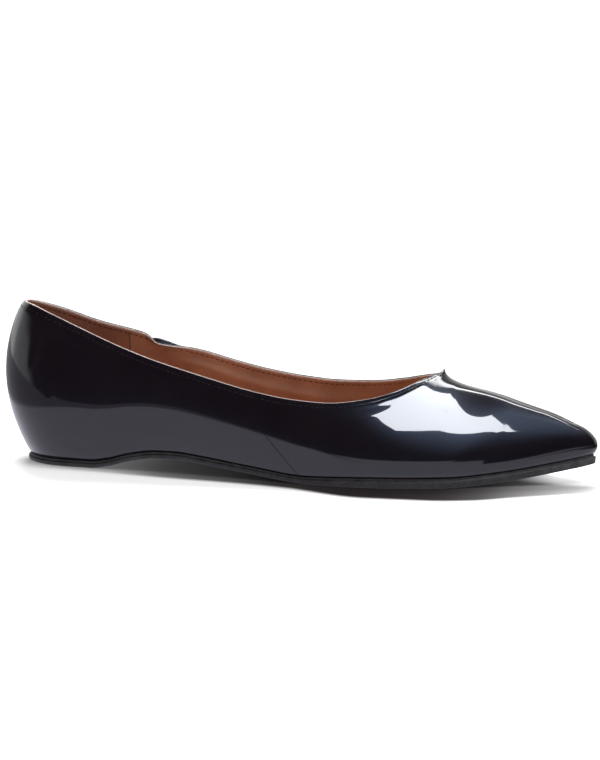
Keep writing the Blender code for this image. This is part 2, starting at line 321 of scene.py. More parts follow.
def throatPlace():
    def isClosed(place):
        return topShares(np.array([place]), np.array([outerSide]))[0] >= 1

    return float(halved(isClosed, 0.4, 0.95, 40)[1])


throat = throatPlace()

columns = {
    "back": 130,
    "behindThroat": 34,
    "front": 76,
    "throatReach": 0.10,
}


def sidePlaces():
    openEnd = throat - columns["throatReach"]
    back = openEnd * np.linspace(0, 1, columns["back"] + 1)
    steps = np.arange(1, columns["behindThroat"] + 1) / columns["behindThroat"]
    behind = openEnd + (throat - openEnd) * (1 - (1 - steps) ** 2)
    front = throat + (1 - throat) * np.arange(1, columns["front"] + 1) / columns["front"]
    return np.concatenate([back, behind, front])


side = sidePlaces()
throatIndex = columns["back"] + columns["behindThroat"]
loopPlaces = np.concatenate([side, (2 - side[-2:0:-1]) % 2])
loopSides = np.concatenate([np.full(len(side), outerSide), np.full(len(side) - 2, innerSide)])
loopIndex = np.concatenate([np.arange(len(side)), np.arange(len(side) - 2, 0, -1)])
loopTops = np.where(loopIndex >= throatIndex, 1.0, topShares(loopPlaces, loopSides))
nearTop = surface(loopPlaces, np.stack([loopTops - 0.01, loopTops], axis=1))
risePerShare = np.linalg.norm(nearTop[:, 1] - nearTop[:, 0], axis=1) / 0.01
throatPoint = surface(np.array([throat]), np.ones((1, 1)))[0, 0]
print("last ready, columns:", len(loopPlaces), "throat at", round(float(throat), 4))

# The middle of the shoe's box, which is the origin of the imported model
cadCentre = np.array([0.130860, -0.003069, 0.0])

# Creases, listed in metres from the back of the heel and from the floor
Crease = namedtuple("Crease", "side alongA heightA alongB heightB width depth")
creases = (
    Crease(outerSide, 0.150, 0.0305, 0.176, 0.0350, 0.0016, 0.00018),
    Crease(outerSide, 0.034, 0.0120, 0.046, 0.0090, 0.0020, 0.00022),
    Crease(outerSide, 0.054, 0.0130, 0.066, 0.0150, 0.0022, 0.00024),
    Crease(outerSide, 0.068, 0.0125, 0.084, 0.0150, 0.0020, 0.00018),
    Crease(outerSide, 0.100, 0.0110, 0.124, 0.0115, 0.0018, 0.00014),
    Crease(innerSide, 0.060, 0.0140, 0.078, 0.0165, 0.0024, 0.00022),
    Crease(innerSide, 0.110, 0.0130, 0.134, 0.0120, 0.0020, 0.00016),
    Crease(innerSide, 0.154, 0.0290, 0.178, 0.0330, 0.0018, 0.00018),
    Crease(outerSide, 0.0195, 0.0580, 0.0165, 0.0410, 0.0013, 0.00030),
    Crease(outerSide, 0.0300, 0.0590, 0.0440, 0.0500, 0.0016, 0.00026),
    Crease(outerSide, 0.0240, 0.0360, 0.0245, 0.0310, 0.0012, 0.00025),
)

# A crease raises the leather beside it by this share of its depth
creaseRidge = 0.35

# The inner side's edge curls in behind the waist, so its black outer face shows above it
curl = {
    "along": 0.0645,
    "reachBack": 0.0040,
    "reachFront": 0.0125,
    "drop": 0.0062,
    "stiff": 0.0015,
    "inward": 0.0036,
    "swell": 0.0022,
    "thin": 1.6,
    "down": 0.0024,
}

# The peak of the opening stands up a little and leans to the toe
lip = {"forward": 0.0036, "lift": 0.0016, "reach": 0.0034}

# The last millimetres under the topline lean inward
rimRoll = {"inward": 0.0007, "reach": 0.0048}

# From the heel to the waist the groove over the sole sits lower
sunk = {"depth": 0.0013, "full": 0.130, "end": 0.172, "fade": 0.012}


def sinkage(x):
    share = 1 - ramp(x, sunk["full"], sunk["end"])
    return sunk["depth"] * share * share * (3 - 2 * share)


# The vamp stands steeper over the sole and rounder at its crest than straight leather would
fullness = {
    "along": (0.50, 0.57, 0.66, 0.76, 0.84, 0.92, 0.98, 1.0),
    "amount": (0.0, 0.0005, 0.0013, 0.0015, 0.0017, 0.0016, 0.0014, 0.0013),
    "height": 0.0095,
    "girthShare": 0.992,
    "leastGirth": 0.004,
    "fullGirth": 0.012,
    "peakShare": 0.45,
    "toePeak": 0.60,
    "toePeakZone": (0.76, 0.85),
    "liftAlong": (0.0, 0.86, 0.90, 0.94, 0.97, 1.0),
    "liftAmount": (0.0, 0.0, 0.0005, 0.0012, 0.0016, 0.0016),
    "crestSlope": 0.26,
    "crestReach": 0.0050,
    "toeReach": 0.0060,
    "toeReachZone": (0.78, 0.88),
    "crestZone": (0.5, 0.8),
    "crestStart": 0.008,
    "crestEnd": 0.02,
}


def fuller(places, ups, points):
    x = points[..., 0]
    along = x / shoe["length"]
    top = surface(places, np.ones((len(places), 1)))[:, 0]
    girth = fullness["girthShare"] * np.linalg.norm(top - points[:, 0], axis=1)
    girth = np.maximum(girth, fullness["leastGirth"])[:, None]
    rise = ups * girth
    amount = monotone(fullness["along"], fullness["amount"], along)
    peak = np.minimum(fullness["height"], girth * fullness["peakShare"])
    peak = peak + (girth * fullness["toePeak"] - peak) * ramp(along, *fullness["toePeakZone"])
    below = np.sin(np.pi / 2 * np.clip(rise / peak, 0, 1))
    above = np.cos(np.pi / 2 * np.clip((rise - peak) / np.maximum(girth - peak, 1e-4), 0, 1))
    bump = amount * np.where(rise < peak, below, above) * ramp(girth, 0, fullness["fullGirth"])
    lift = monotone(fullness["liftAlong"], fullness["liftAmount"], along) * ups ** 2
    middle = np.abs(points[..., 1])
    toward = ramp(along, *fullness["toeReachZone"])
    reach = fullness["crestReach"] + (fullness["toeReach"] - fullness["crestReach"]) * toward
    crest = fullness["crestSlope"] * middle * np.exp(-middle / reach) * ramp(ups, *fullness["crestZone"])
    crest = crest * ramp(x - throatPoint[0], 0, fullness["crestStart"])
    crest = crest * ramp(shoe["length"] - x, 0, fullness["crestEnd"])
    return bump, crest + lift


def formed(points, normals, sides, drops, ups, depth):
    bump, crest = fuller(loopPlaces, ups, points)
    points = points + normals * bump[..., None]
    points[..., 2] += crest
    along = points[..., 0]
    height = points[..., 2]
    moved = np.zeros_like(along)
    for crease in creases:
        a = np.array([crease.alongA, crease.heightA])
        b = np.array([crease.alongB, crease.heightB])
        run = b - a
        share = ((along - a[0]) * run[0] + (height - a[1]) * run[1]) / (run @ run)
        held = np.clip(share, 0, 1)
        away = np.hypot(along - a[0] - held * run[0], height - a[1] - held * run[1])
        fade = np.sin(np.pi * np.clip(share, 0, 1)) ** 0.5
        trough = np.exp(-(away / crease.width) ** 2) * fade
        ridge = creaseRidge * np.exp(-((away - 2 * crease.width) / crease.width) ** 2) * fade
        moved += np.where(sides == crease.side, (trough - ridge) * crease.depth, 0)
    points = points - normals * moved[..., None]
    reach = np.where(along < curl["along"], curl["reachBack"], curl["reachFront"])
    zone = np.exp(-((along - curl["along"]) / reach) ** 2) * (sides == innerSide)
    bend = 1 - ramp(drops, curl["stiff"], curl["drop"])
    swell = np.sin(np.pi * bend ** 1.2) * (curl["swell"] - depth * curl["thin"])
    points[..., 1] -= bend ** 2 * zone * curl["inward"]
    points[..., 2] += (swell - bend ** 4 * curl["down"]) * zone
    away = np.linalg.norm(points - throatPoint, axis=-1)
    peak = np.exp(-away / lip["reach"])
    points[..., 0] += peak * lip["forward"]
    points[..., 2] += peak * lip["lift"]
    roll = np.clip(1 - drops / rimRoll["reach"], 0, 1) ** 2 * rimRoll["inward"]
    points = points - normals * roll[..., None]
    above = height - undersideHeight(along / shoe["length"]) - shoe["soleThickness"]
    low = 1 - ramp(above, 0, sunk["fade"])
    points[..., 2] -= sinkage(along) * low * (ups < 0.5)
    return points


def layer(ups, depth, extra=None):
    normals = surfaceNormals(loopPlaces, ups)
    points = surface(loopPlaces, ups) - normals * depth
    drops = (loopTops[:, None] - ups) * risePerShare[:, None]
    sides = np.repeat(loopSides[:, None], ups.shape[1], axis=1)
    if extra is not None:
        points = points - normals * extra(points, drops, sides)[..., None]
    drops = np.where(loopIndex[:, None] < throatIndex, drops, 1.0)
    return formed(points, normals, sides, drops, ups, depth)


def edgeRow(drop, depth):
    return layer((loopTops - drop / risePerShare)[:, None], depth)[:, 0]


def shareRows(count, topBand, dropRows):
    lower = np.linspace(0, 1, count)[None, :] * (loopTops - topBand / risePerShare)[:, None]
    upper = loopTops[:, None] - np.array(dropRows)[None, :] / risePerShare[:, None]
    return np.concatenate([lower, upper], axis=1)


def placed(name, data):
    body = bpy.data.objects.new(name, data)
    bpy.context.scene.collection.objects.link(body)
    return body


class Mesh:
    def __init__(self):
        self.points = []
        self.faces = []
        self.slots = []
        self.slot = 0

    def add(self, point):
        self.points.append(tuple(float(v) for v in point))
        return len(self.points) - 1

    def face(self, *corners):
        kept = [corner for i, corner in enumerate(corners) if corner != corners[i - 1]]
        if len(set(kept)) > 2:
            self.faces.append(tuple(kept))
            self.slots.append(self.slot)

    def strip(self, first, second, closed=False):
        count = len(first)
        for i in range(count if closed else count - 1):
            j = (i + 1) % count
            self.face(first[i], first[j], second[j], second[i])

    def piece(self, name, materials, sharpAngle=None):
        data = bpy.data.meshes.new(name)
        data.from_pydata([tuple(np.array(p) - cadCentre) for p in self.points], [], self.faces)
        for material in materials:
            data.materials.append(material)
        data.polygons.foreach_set("material_index", self.slots)
        data.update()
        data.shade_smooth()
        if sharpAngle:
            data.set_sharp_from_angle(angle=sharpAngle)
        return placed(name, data)


def shell(outsidePoints, rimPoints, insidePoints):
    mesh = Mesh()
    shared = {}
    chains = []

    def add(column, row, point):
        index = loopIndex[column]
        if index < throatIndex:
            return mesh.add(point)
        if (index, row) not in shared:
            flat = np.array(point)
            flat[1] = 0.0
            shared[(index, row)] = mesh.add(flat)
        return shared[(index, row)]

    for c in range(len(loopPlaces)):
        outside = [mesh.add(p) for p in outsidePoints[c][:-1]]
        outside.append(add(c, "outside", outsidePoints[c][-1]))
        inside = [mesh.add(p) for p in insidePoints[c][:-1]]
        inside.append(add(c, "inside", insidePoints[c][-1]))
        rim = []
        if loopIndex[c] <= throatIndex:
            rim = [add(c, r, p) for r, p in enumerate(rimPoints[c])]
        chains.append((outside, rim, inside))
    count = len(chains)
    for i in range(count):
        j = (i + 1) % count
        mesh.strip(chains[j][0], chains[i][0])
        mesh.strip(chains[i][2], chains[j][2])
        mesh.face(chains[i][0][0], chains[i][2][0], chains[j][2][0], chains[j][0][0])
        if chains[i][1] and chains[j][1]:
            first = [chains[i][0][-1]] + chains[i][1] + [chains[i][2][-1]]
            second = [chains[j][0][-1]] + chains[j][1] + [chains[j][2][-1]]
            mesh.strip(second, first)
    return mesh


def wallShell(rows, bandTop, dropRows, rimRows, depths, extra=None, endDrop=None):
    ups = shareRows(rows, bandTop, dropRows)
    lowered = np.zeros(len(loopPlaces)) if endDrop is None else endDrop
    outsideUps = ups - (lowered / risePerShare)[:, None]
    insideUps = outsideUps.copy()
    outsideUps[:, 0] = 0
    insideUps[:, 0] = 0
    outside = layer(outsideUps, depths[0], extra if depths[0] == 0 else None)
    inside = layer(insideUps, depths[1], extra if depths[0] else None)
    rim = [edgeRow(drop + lowered, depth) for drop, depth in rimRows]
    return shell(outside, np.stack(rim, axis=1), inside)


# Shader maths: a socket that can be added, multiplied and turned into a share between limits

class Wire:
    def __init__(self, tree, socket):
        self.tree = tree
        self.socket = socket

    def maths(self, operation, *others):
        node = self.tree.nodes.new("ShaderNodeMath")
        node.operation = operation
        for i, value in enumerate((self, *others)):
            if isinstance(value, Wire):
                self.tree.links.new(value.socket, node.inputs[i])
            else:
                node.inputs[i].default_value = value
        return Wire(self.tree, node.outputs[0])

    def constant(self, value):
        node = self.tree.nodes.new("ShaderNodeValue")
        node.outputs[0].default_value = value
        return Wire(self.tree, node.outputs[0])

    def __add__(self, other):
        return self.maths("ADD", other)

    __radd__ = __add__

    def __mul__(self, other):
        return self.maths("MULTIPLY", other)

    __rmul__ = __mul__

    def __sub__(self, other):
        return self.maths("SUBTRACT", other)

    def __rsub__(self, other):
        return self.constant(other).maths("SUBTRACT", self)

    def __truediv__(self, other):
        return self.maths("DIVIDE", other)

    def nearZero(self, width):
        scaled = self.maths("ABSOLUTE") / width
        return (1 - scaled).maths("MAXIMUM", 0.0)

    def between(self, low, high):
        return ((self - low) / (high - low)).maths("MINIMUM", 1.0).maths("MAXIMUM", 0.0)


class Shader:
    def __init__(self, name):
        self.material = bpy.data.materials.new(name)
        self.material.use_nodes = True
        self.tree = self.material.node_tree
        self.principled = self.tree.nodes["Principled BSDF"]
        self.place = self.node("ShaderNodeTexCoord")["Object"]

    def node(self, kind, settings=None, **values):
        made = self.tree.nodes.new(kind)
        for key, value in (settings or {}).items():
            setattr(made, key, value)
        for key, value in values.items():
            self.feed(made.inputs[key], value)
        return {output.name: Wire(self.tree, output) for output in made.outputs if output.enabled}

    def feed(self, socket, value):
        if isinstance(value, Wire):
            self.tree.links.new(value.socket, socket)
        else:
            socket.default_value = value

    def axes(self):
        parts = self.node("ShaderNodeSeparateXYZ", Vector=self.place)
        return parts["X"], parts["Y"], parts["Z"]

    def noise(self, scale, detail, roughness=0.5):
        return self.node(
            "ShaderNodeTexNoise", Vector=self.place, Scale=scale, Detail=detail, Roughness=roughness,
        )["Fac"]

    def mix(self, factor, first, second):
        made = self.tree.nodes.new("ShaderNodeMix")
        made.data_type = "RGBA"
        self.feed(made.inputs[0], factor)
        self.feed(made.inputs[6], first)
        self.feed(made.inputs[7], second)
        return Wire(self.tree, made.outputs[2])

    def bump(self, height):
        return self.node("ShaderNodeBump", Height=height, Strength=1.0, Distance=1.0)["Normal"]

    def finish(self, **values):
        for key, value in values.items():
            self.feed(self.principled.inputs[key.replace("_", " ")], value)
        return self.material


def rgb(r, g, b):
    return (r, g, b, 1.0)


patent = {
    "base": rgb(0.0074, 0.0046, 0.0066),
    "deep": rgb(0.0090, 0.0060, 0.0082),
    "toneScale": 38.0,
    "filmRoughness": 0.30,
    "filmLevel": 0.14,
    "filmTint": rgb(0.45, 0.65, 1.0),
    "dustScale": 260.0,
    "dustRoughness": 0.15,
    "gloss": 0.035,
    "index": 1.50,
    "peelScale": 900.0,
    "peelHeight": 0.000004,
    "waveScale": 55.0,
    "waveHeight": 0.00006,
    "seamWidth": 0.00035,
    "seamHeight": 0.00010,
    "seamAlong": 0.1395,
    "seamSlope": 0.90,
    "seamLine": 0.0005,
    "seamDull": 0.75,
    "seamTop": (0.018, 0.030),
    "backSeam": (-0.125, -0.10),
}


def patentMaterial():
    shader = Shader("patentLeather")
    x, y, z = shader.axes()
    peel = shader.noise(patent["peelScale"], 2.0)
    wave = shader.noise(patent["waveScale"], 2.0, 0.45)
    heightMap = peel * patent["peelHeight"] + wave * patent["waveHeight"]
    # Side seams, slanted down and forward to the feather edge, and the seam at the back
    slant = x + z * patent["seamSlope"] - (patent["seamAlong"] - cadCentre[0])
    lowPart = 1 - z.between(*patent["seamTop"])
    side = slant.nearZero(patent["seamWidth"]) * lowPart
    back = (y + cadCentre[1]).nearZero(patent["seamWidth"]) * (1 - x.between(*patent["backSeam"]))
    heightMap = heightMap - (side + back) * patent["seamHeight"]
    line = slant.nearZero(patent["seamLine"]) * lowPart
    tone = shader.noise(patent["toneScale"], 3.0)
    dust = shader.noise(patent["dustScale"], 5.0, 0.7).between(0.62, 0.80)
    return shader.finish(
        Base_Color=shader.mix(tone.between(0.4, 0.65), patent["base"], patent["deep"]),
        Roughness=patent["filmRoughness"] + dust * patent["dustRoughness"],
        IOR=patent["index"],
        Specular_IOR_Level=patent["filmLevel"],
        Specular_Tint=patent["filmTint"],
        Coat_Weight=1 - line * patent["seamDull"],
        Coat_Roughness=patent["gloss"],
        Coat_IOR=patent["index"],
        Normal=shader.bump(heightMap),
    )


lining = {
    "base": rgb(0.50, 0.260, 0.165),
    "dark": rgb(0.33, 0.165, 0.105),
    "cloudScale": 45.0,
    "counter": rgb(0.235, 0.105, 0.075),
    "counterShare": 0.55,
    "counterEdge": (-0.0802, -0.0796),
    "joint": rgb(0.10, 0.045, 0.028),
    "jointShare": 0.7,
    "jointPlace": -0.0800,
    "jointWidth": 0.0004,
    "jointDepth": 0.0003,
    "grainScale": 1500.0,
    "grainHeight": 0.00003,
    "streakScale": 160.0,
    "streakHeight": 0.00005,
    "roughness": 0.62,
    "grainRoughness": 0.12,
    "level": 0.35,
}


def liningMaterial():
    shader = Shader("liningLeather")
    x, y, z = shader.axes()
    grain = shader.noise(lining["grainScale"], 4.0, 0.6)
    cloud = shader.noise(lining["cloudScale"], 4.0, 0.6)
    streak = shader.noise(lining["streakScale"], 3.0)
    # The seam of the heel's counter shows on the inner side only
    joint = (x - lining["jointPlace"]).nearZero(lining["jointWidth"]) * y.between(0.0, 0.002)
    counter = 1 - x.between(*lining["counterEdge"])
    mottled = shader.mix(cloud.between(0.35, 0.7), lining["base"], lining["dark"])
    mottled = shader.mix(counter * lining["counterShare"], mottled, lining["counter"])
    heightMap = grain * lining["grainHeight"] + streak * lining["streakHeight"] - joint * lining["jointDepth"]
    return shader.finish(
        Base_Color=shader.mix(joint * lining["jointShare"], mottled, lining["joint"]),
        Roughness=lining["roughness"] + grain * lining["grainRoughness"],
        Specular_IOR_Level=lining["level"],
        Normal=shader.bump(heightMap),
    )


rawEdge = {
    "base": rgb(0.86, 0.74, 0.70),
    "dark": rgb(0.60, 0.45, 0.40),
    "fibreScale": 900.0,
    "fibreHeight": 0.00012,
    "roughness": 0.8,
}


def rawEdgeMaterial():
    shader = Shader("rawEdge")
    fibre = shader.noise(rawEdge["fibreScale"], 4.0, 0.7)
    return shader.finish(
        Base_Color=shader.mix(fibre.between(0.45, 0.75), rawEdge["base"], rawEdge["dark"]),
        Roughness=rawEdge["roughness"],
        Normal=shader.bump(fibre * rawEdge["fibreHeight"]),
    )


rubber = {
    "base": rgb(0.018, 0.016, 0.018),
    "worn": rgb(0.050, 0.046, 0.049),
    "fineScale": 1400.0,
    "fineHeight": 0.00010,
    "dustScale": 210.0,
    "ribTurns": 2600.0,
    "ribHeight": 0.00006,
    "roughness": 0.50,
    "dustRoughness": 0.25,
    "level": 0.45,
}


def rubberMaterial():
    shader = Shader("soleRubber")
    x, y, z = shader.axes()
    fine = shader.noise(rubber["fineScale"], 3.0, 0.65)
    dust = shader.noise(rubber["dustScale"], 5.0, 0.7)
    ribs = (x * rubber["ribTurns"]).maths("SINE")
    under = 1 - z.between(0.0002, 0.0012)
    return shader.finish(
        Base_Color=shader.mix(dust.between(0.38, 0.66), rubber["base"], rubber["worn"]),
        Roughness=rubber["roughness"] + dust * rubber["dustRoughness"],
        Specular_IOR_Level=rubber["level"],
        Normal=shader.bump(fine * rubber["fineHeight"] + ribs * under * rubber["ribHeight"]),
    )


thread = {
    "dark": rgb(0.004, 0.004, 0.005),
    "pale": rgb(0.011, 0.010, 0.011),
    "twistScale": 2600.0,
    "twistHeight": 0.00008,
    "roughness": 0.5,
    "level": 0.2,
}


def threadMaterial():
    shader = Shader("blackThread")
    twist = shader.noise(thread["twistScale"], 2.0)
    return shader.finish(
        Base_Color=shader.mix(twist, thread["dark"], thread["pale"]),
        Roughness=thread["roughness"],
        Specular_IOR_Level=thread["level"],
        Normal=shader.bump(twist * thread["twistHeight"]),
    )


materials = {
    "patent": patentMaterial(),
    "lining": liningMaterial(),
    "edge": rawEdgeMaterial(),
    "rubber": rubberMaterial(),
    "thread": threadMaterial(),
}
print("materials ready:", len(materials))

# Upper: patent skin outside, pale raw edge, lining inside

upper = {
    "rows": 40,
    "band": 0.0065,
    "topRows": (
        0.0060, 0.0052, 0.0045, 0.0039, 0.0034, 0.0030, 0.0027,
        0.0024, 0.0021, 0.0018, 0.0014, 0.0010, 0.0006, 0.0003,
    ),
    "patentDepth": 0.00055,
    "edgeDepth": 0.00110,
    "stitchDrop": 0.0026,
    "stitchTrough": 0.00010,
    "stitchTroughWidth": 0.00055,
    "easeColumns": 14,
    "farLower": 0.00055,
    "farLining": 0.00035,
}


def stitchTrough(points, drops, sides):
    # The thread pulls the leather in by a hair
    groove = np.exp(-((drops - upper["stitchDrop"]) / upper["stitchTroughWidth"]) ** 2)
    return upper["stitchTrough"] * groove * (loopIndex < throatIndex)[:, None]


def patentUpper():
    depth = upper["patentDepth"]
    rim = [
        (0.00012, 0.00004),
        (0.00002, 0.00016),
        (0.0, 0.00030),
        (0.00003, 0.00044),
        (0.00012, depth - 0.00002),
    ]
    mesh = wallShell(upper["rows"], upper["band"], upper["topRows"], rim, (0.0, depth), stitchTrough)
    return mesh.piece("patentUpper", [materials["patent"]])


def farShare():
    # 1 on the inner side, 0 on the outer side, eased at the heel and the throat
    easedBack = np.clip(loopIndex / upper["easeColumns"], 0, 1)
    easedFront = np.clip((throatIndex - loopIndex) / upper["easeColumns"], 0, 1)
    return np.where(loopSides == innerSide, easedBack * easedFront, 0.0)


def openOrder(ends):
    # Columns from the throat back along the inner side, then forward along the outer side
    tip = int(np.argmax((loopIndex == throatIndex) & (loopSides == innerSide)))
    return list(range(tip + 1 - ends, len(loopPlaces))) + list(range(throatIndex + ends))


def topEdge():
    near = upper["patentDepth"] + 0.00003
    far = upper["edgeDepth"]
    profile = [
        (0.0030, near),
        (0.0002, near),
        (-0.00025, near - 0.00010),
        (-0.00038, (near + far) / 2),
        (-0.00025, far + 0.00002),
        (0.0002, far),
        (0.0030, far),
    ]
    mesh = Mesh()
    lowered = farShare() * upper["farLower"]
    rows = [edgeRow(drop + lowered, depth) for drop, depth in profile]
    chains = [[mesh.add(row[c]) for row in rows] for c in openOrder(1)]
    for chain, following in zip(chains, chains[1:]):
        mesh.strip(following, chain, closed=True)
    mesh.face(*chains[0])
    mesh.face(*reversed(chains[-1]))
    return mesh.piece("topEdge", [materials["edge"]])


# A soft ridge under the inner side's stitches, where the lining stands off the leather
ridge = {
    "from": (0.062, 0.072),
    "to": (0.135, 0.165),
    "drop": 0.0075,
    "sink": 0.0030,
    "sinkZone": (0.062, 0.142),
    "width": 0.0030,
    "depth": 0.0015,
}


def liningRidge(points, drops, sides):
    along = points[..., 0]
    share = ramp(along, *ridge["from"]) * (1 - ramp(along, *ridge["to"])) * (sides == innerSide)
    middle = ridge["drop"] + ridge["sink"] * ramp(along, *ridge["sinkZone"])
    raised = np.exp(-((drops - middle) / ridge["width"]) ** 2) * ridge["depth"]
    return raised * share * (loopIndex < throatIndex)[:, None]


def liningShell():
    near = upper["edgeDepth"] + 0.00003
    far = shoe["wall"]
    rim = [(0.00015, near + 0.00005), (0.00010, (near + far) / 2), (0.00018, far - 0.00004)]
    openColumn = loopIndex < throatIndex
    lowered = np.where(openColumn, 0.0002 + farShare() * (upper["farLower"] + upper["farLining"]), 0.0)
    mesh = wallShell(30, upper["band"], upper["topRows"], rim, (near, far), liningRidge, lowered)
    return mesh.piece("lining", [materials["lining"]])


upperSkin = patentUpper()
edgeBand = topEdge()
liningSkin = liningShell()
print("upper ready, faces:", len(upperSkin.data.polygons), len(liningSkin.data.polygons))

# Outsole and insole: rings around the feather line, closed by rungs from side to side

sock = {
    "profile": ((0.0, 0.0), (0.3, 0.0), (0.6, 0.0), (0.85, 0.0), (0.96, 0.0001), (1.0, 0.0006)),
    "hollow": 0.0008,
    "hollowWidth": 0.03,
}

def ring(mesh, offset, height):
    foot, out, _ = featherLine(loopPlaces)
    points = foot + out * offset
    points[:, 2] = height(foot[:, 0] / shoe["length"])
    return [mesh.add(point) for point in points]


def cap(mesh, loop, height, upward, hollow=0.0):
    half = len(loop) // 2
    rows = []
    for i in range(half + 1):
        outer = loop[i]
        inner = loop[-i % len(loop)]
        row = [outer]
        if outer != inner:
            start = np.array(mesh.points[outer])
            end = np.array(mesh.points[inner])
            for step in range(1, rungs):
                share = step / rungs
                point = start + (end - start) * share
                wide = min(1.0, np.linalg.norm(end - start) / sock["hollowWidth"])
                dip = hollow * math.sin(math.pi * share) * wide
                point[2] = float(height(np.array([point[0] / shoe["length"]]))[0]) - dip
                row.append(mesh.add(point))
        row.append(inner)
        rows.append(row)
    for i in range(half):
        first, second = rows[i], rows[i + 1]
        if len(first) == 2:
            first = [first[0]] * len(second)
        if len(second) == 2:
            second = [second[0]] * len(first)
        if upward:
            mesh.strip(second, first)
        else:
            mesh.strip(first, second)


rungs = 16


def outsole():
    mesh = Mesh()

    def top(along):
        return undersideHeight(along) + shoe["soleThickness"] - sinkage(along * shoe["length"])

    def below(fall):
        return lambda along: top(along) - fall

    def above(rise):
        return lambda along: undersideHeight(along) + rise

    out = shoe["soleMargin"]
    groove = shoe["grooveHeight"]
    deep = out - shoe["grooveDepth"]
    profile = [
        (deep - 0.0002, top),
        (deep, below(0.00015)),
        (deep - 0.0001, below(groove * 0.6)),
        (deep, below(groove - 0.0001)),
        (deep + 0.0002, below(groove)),
        (out - 0.00030, below(groove + 0.00002)),
        (out - 0.00010, below(groove + 0.00012)),
        (out, below(groove + 0.00035)),
        (out, above(0.0016)),
        (out - 0.0001, above(0.0012)),
        (out, above(0.0008)),
        (out - 0.00008, above(0.0004)),
        (out - 0.0003, above(0.0001)),
        (out - 0.0007, above(0.0)),
    ]
    rings = [ring(mesh, offset, height) for offset, height in profile]
    for high, low in zip(rings, rings[1:]):
        mesh.strip(low, high, closed=True)
    cap(mesh, rings[0], top, True)
    cap(mesh, rings[-1], undersideHeight, False)
    return mesh.piece("soleUnit", [materials["rubber"]], 0.9)


def insidePoints(depth, heights):
    def isOver(ups):
        return offsetSurface(loopPlaces, ups[:, None], depth)[:, 0, 2] > heights

    count = len(loopPlaces)
    low, _ = halved(isOver, np.zeros(count), np.full(count, 0.8), 24)
    points = offsetSurface(loopPlaces, low[:, None], depth)[:, 0]
    points[:, 2] = heights
    return points


def insoleCover():
    mesh = Mesh()
    depth = shoe["wall"] + shoe["insoleClearance"]
    foot, _, _ = featherLine(loopPlaces)
    along = foot[:, 0] / shoe["length"]
    bottom = seatHeight(along)
    bed = footbedHeight(along)
    rings = []
    for share, inset in sock["profile"]:
        heights = bottom + (bed - bottom) * share
        rings.append([mesh.add(point) for point in insidePoints(depth + inset, heights)])
    for low, high in zip(rings, rings[1:]):
        mesh.strip(low, high, closed=True)
    cap(mesh, rings[-1], footbedHeight, True, hollow=sock["hollow"])
    cap(mesh, rings[0], seatHeight, False)
    return mesh.piece("sockInsole", [materials["lining"]], 0.9)


soleUnit = outsole()
sockInsole = insoleCover()
print("sole and insole ready")

# Stitches along the topline, one row outside and one inside, made with Geometry Nodes

stitches = {
    "Pitch": 0.0024,
    "Length": 0.0017,
    "Radius": 0.00019,
    "Seed": 3,
    "jitter": (0.92, 1.06),
    "outsideDepth": 0.00004,
    "insideDepth": 0.00004,
}


def stitchTree():
    tree = bpy.data.node_groups.new("stitchRow", "GeometryNodeTree")
    inputs = {"Geometry": "Geometry", "Pitch": "Float", "Length": "Float", "Radius": "Float",
              "Seed": "Int", "Thread": "Material"}
    for name, kind in inputs.items():
        tree.interface.new_socket(name=name, in_out="INPUT", socket_type="NodeSocket" + kind)
    tree.interface.new_socket(name="Geometry", in_out="OUTPUT", socket_type="NodeSocketGeometry")

    def node(kind, settings=None, **values):
        made = tree.nodes.new(kind)
        for key, value in (settings or {}).items():
            setattr(made, key, value)
        for key, value in values.items():
            feed(made.inputs[key], value)
        return made

    def feed(socket, value):
        if isinstance(value, bpy.types.NodeSocket):
            tree.links.new(value, socket)
        else:
            socket.default_value = value

    def maths(operation, first, second):
        made = node("ShaderNodeMath", {"operation": operation})
        feed(made.inputs[0], first)
        feed(made.inputs[1], second)
        return made.outputs[0]

    given = node("NodeGroupInput").outputs
    path = node(
        "GeometryNodeResampleCurve", {"mode": "LENGTH"}, Curve=given["Geometry"], Length=given["Pitch"],
    ).outputs["Curve"]
    stitch = node("GeometryNodeMeshUVSphere", Segments=8, Rings=6, Radius=given["Radius"]).outputs["Mesh"]
    jitter = node("FunctionNodeRandomValue", {"data_type": "FLOAT"}, Seed=given["Seed"])
    limits = [socket for socket in jitter.inputs if socket.type == "VALUE" and socket.name in ("Min", "Max")]
    for socket, limit in zip(limits, stitches["jitter"]):
        socket.default_value = limit
    factor = next(socket for socket in jitter.outputs if socket.enabled and socket.type == "VALUE")
    longer = maths("DIVIDE", given["Length"], given["Radius"])
    longer = maths("MULTIPLY", maths("MULTIPLY", longer, 0.5), factor)
    size = node("ShaderNodeCombineXYZ", X=1.0, Y=1.0, Z=longer).outputs["Vector"]
    tangent = node("GeometryNodeInputTangent").outputs[0]
    turn = node("FunctionNodeAlignRotationToVector", {"axis": "Z"}, Vector=tangent).outputs["Rotation"]
    copies = node(
        "GeometryNodeInstanceOnPoints", Points=path, Instance=stitch, Rotation=turn, Scale=size,
    ).outputs["Instances"]
    real = node("GeometryNodeRealizeInstances", Geometry=copies).outputs["Geometry"]
    smooth = node("GeometryNodeSetShadeSmooth", Geometry=real).outputs["Geometry"]
    cover = node("GeometryNodeSetMaterial", Geometry=smooth, Material=given["Thread"])
    node("NodeGroupOutput", Geometry=cover.outputs["Geometry"])
    return tree


